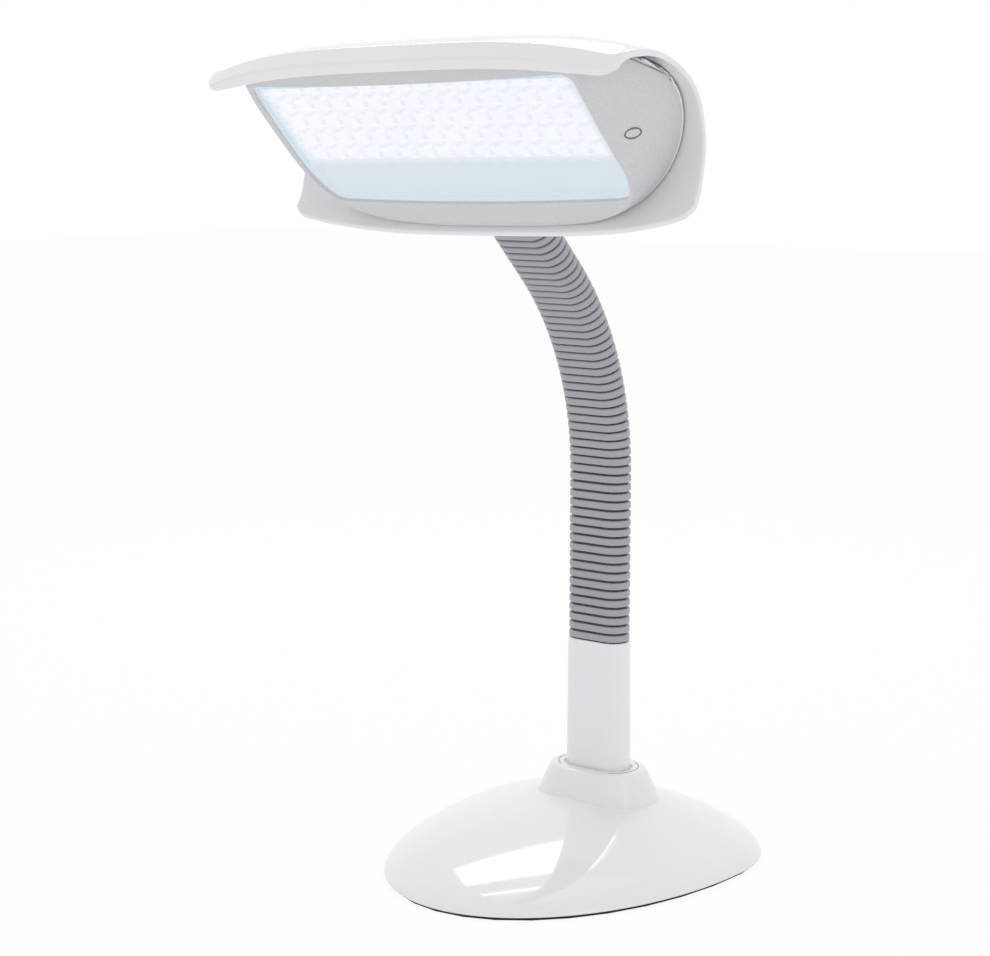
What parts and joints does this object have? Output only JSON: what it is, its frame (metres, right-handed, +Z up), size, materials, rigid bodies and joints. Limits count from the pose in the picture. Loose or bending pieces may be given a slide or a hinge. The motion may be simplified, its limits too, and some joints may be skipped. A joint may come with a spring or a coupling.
{
  "type": "light therapy lamp",
  "caption": "Desk light therapy lamp: a low egg-shaped base, a flat stem, a bendable ribbed neck and a wide vaulted hood over a lit window.",
  "frame": {"origin": "on the table under the middle of the stem", "axes": "+Z up, -Y the way the lit head faces, +X to the side of the touch pad"},
  "size_m": [0.2702, 0.2819, 0.4753],
  "materials": {
    "shell_white": "glossy white",
    "neck_grey": "satin grey",
    "frame_silver": "frosted silver with fine speckle",
    "window_clear": "clear with a faint blue tint",
    "light_white": "white",
    "board_green": "satin",
    "tray_white": "bright white",
    "link_steel": "brushed",
    "screw_steel": "zinc plated",
    "sink_aluminium": "as extruded",
    "ballast_iron": "painted dark",
    "pad_rubber": "matte",
    "inlet_black": "satin",
    "touch_grey": "satin dark ring"
  },
  "bodies": {
    "base": {"foot_pad": "pad_rubber", "base_plate": "link_steel", "base_screws": "screw_steel", "base_ballast": "ballast_iron", "base_shell": "shell_white", "power_board": "board_green", "board_spacers": "inlet_black", "power_inlet": "inlet_black", "stem_collar": "shell_white", "stem_tube": "shell_white", "stem_flange": "link_steel", "flange_screws": "screw_steel", "neck_anchor": "link_steel", "neck_sleeve_00": "neck_grey"},
    "neck_01": {"neck_sleeve_01": "neck_grey", "neck_link_01": "link_steel"},
    "neck_02": {"neck_sleeve_02": "neck_grey", "neck_link_02": "link_steel"},
    "neck_03": {"neck_sleeve_03": "neck_grey", "neck_link_03": "link_steel"},
    "neck_04": {"neck_sleeve_04": "neck_grey", "neck_link_04": "link_steel"},
    "neck_05": {"neck_sleeve_05": "neck_grey", "neck_link_05": "link_steel"},
    "neck_06": {"neck_sleeve_06": "neck_grey", "neck_link_06": "link_steel"},
    "neck_07": {"neck_sleeve_07": "neck_grey", "neck_link_07": "link_steel"},
    "neck_08": {"neck_sleeve_08": "neck_grey", "neck_link_08": "link_steel"},
    "neck_09": {"neck_sleeve_09": "neck_grey", "neck_link_09": "link_steel"},
    "neck_10": {"neck_sleeve_10": "neck_grey", "neck_link_10": "link_steel"},
    "neck_11": {"neck_sleeve_11": "neck_grey", "neck_link_11": "link_steel"},
    "head": {"hood_shell": "shell_white", "neck_socket": "shell_white", "head_anchor": "link_steel", "pod_bezel": "frame_silver", "window_pane": "window_clear", "touch_pad": "touch_grey", "led_board": "tray_white", "led_chips": "light_white", "reflector_tray": "tray_white", "heat_sink": "sink_aluminium", "driver_board": "board_green", "head_bracket": "link_steel", "bracket_screws": "screw_steel", "neck_sleeve_12": "neck_grey"}
  },
  "joints": [
    {"name": "nod_bend_01", "type": "hinge", "parent": "base", "child": "neck_01", "pos_m": [0, 0, 0.15265], "axis": [1, 0, 0], "range_deg": [-7, 7]},
    {"name": "side_bend_02", "type": "hinge", "parent": "neck_01", "child": "neck_02", "pos_m": [0, 0, 0.17397], "axis": [0, 1, 0], "range_deg": [-3.5, 3.5]},
    {"name": "nod_bend_03", "type": "hinge", "parent": "neck_02", "child": "neck_03", "pos_m": [0, 0, 0.19529], "axis": [1, 0, 0], "range_deg": [-7, 7]},
    {"name": "nod_bend_04", "type": "hinge", "parent": "neck_03", "child": "neck_04", "pos_m": [0, 0, 0.21661], "axis": [1, 0, 0], "range_deg": [-7, 7]},
    {"name": "side_bend_05", "type": "hinge", "parent": "neck_04", "child": "neck_05", "pos_m": [0, -0.00031, 0.23792], "axis": [0, 0.9982, 0.0604], "range_deg": [-3.5, 3.5]},
    {"name": "nod_bend_06", "type": "hinge", "parent": "neck_05", "child": "neck_06", "pos_m": [0, -0.00293, 0.25907], "axis": [1, 0, 0], "range_deg": [-7, 7]},
    {"name": "nod_bend_07", "type": "hinge", "parent": "neck_06", "child": "neck_07", "pos_m": [0, -0.00818, 0.27972], "axis": [1, 0, 0], "range_deg": [-7, 7]},
    {"name": "side_bend_08", "type": "hinge", "parent": "neck_07", "child": "neck_08", "pos_m": [0, -0.01599, 0.29954], "axis": [0, 0.9056, 0.4241], "range_deg": [-3.5, 3.5]},
    {"name": "nod_bend_09", "type": "hinge", "parent": "neck_08", "child": "neck_09", "pos_m": [0, -0.02622, 0.31823], "axis": [1, 0, 0], "range_deg": [-7, 7]},
    {"name": "nod_bend_10", "type": "hinge", "parent": "neck_09", "child": "neck_10", "pos_m": [0, -0.03871, 0.33549], "axis": [1, 0, 0], "range_deg": [-7, 7]},
    {"name": "side_bend_11", "type": "hinge", "parent": "neck_10", "child": "neck_11", "pos_m": [0, -0.05326, 0.35106], "axis": [0, 0.6984, 0.7157], "range_deg": [-3.5, 3.5]},
    {"name": "nod_bend_12", "type": "hinge", "parent": "neck_11", "child": "head", "pos_m": [0, -0.06852, 0.36595], "axis": [1, 0, 0], "range_deg": [-7, 7]}
  ]
}
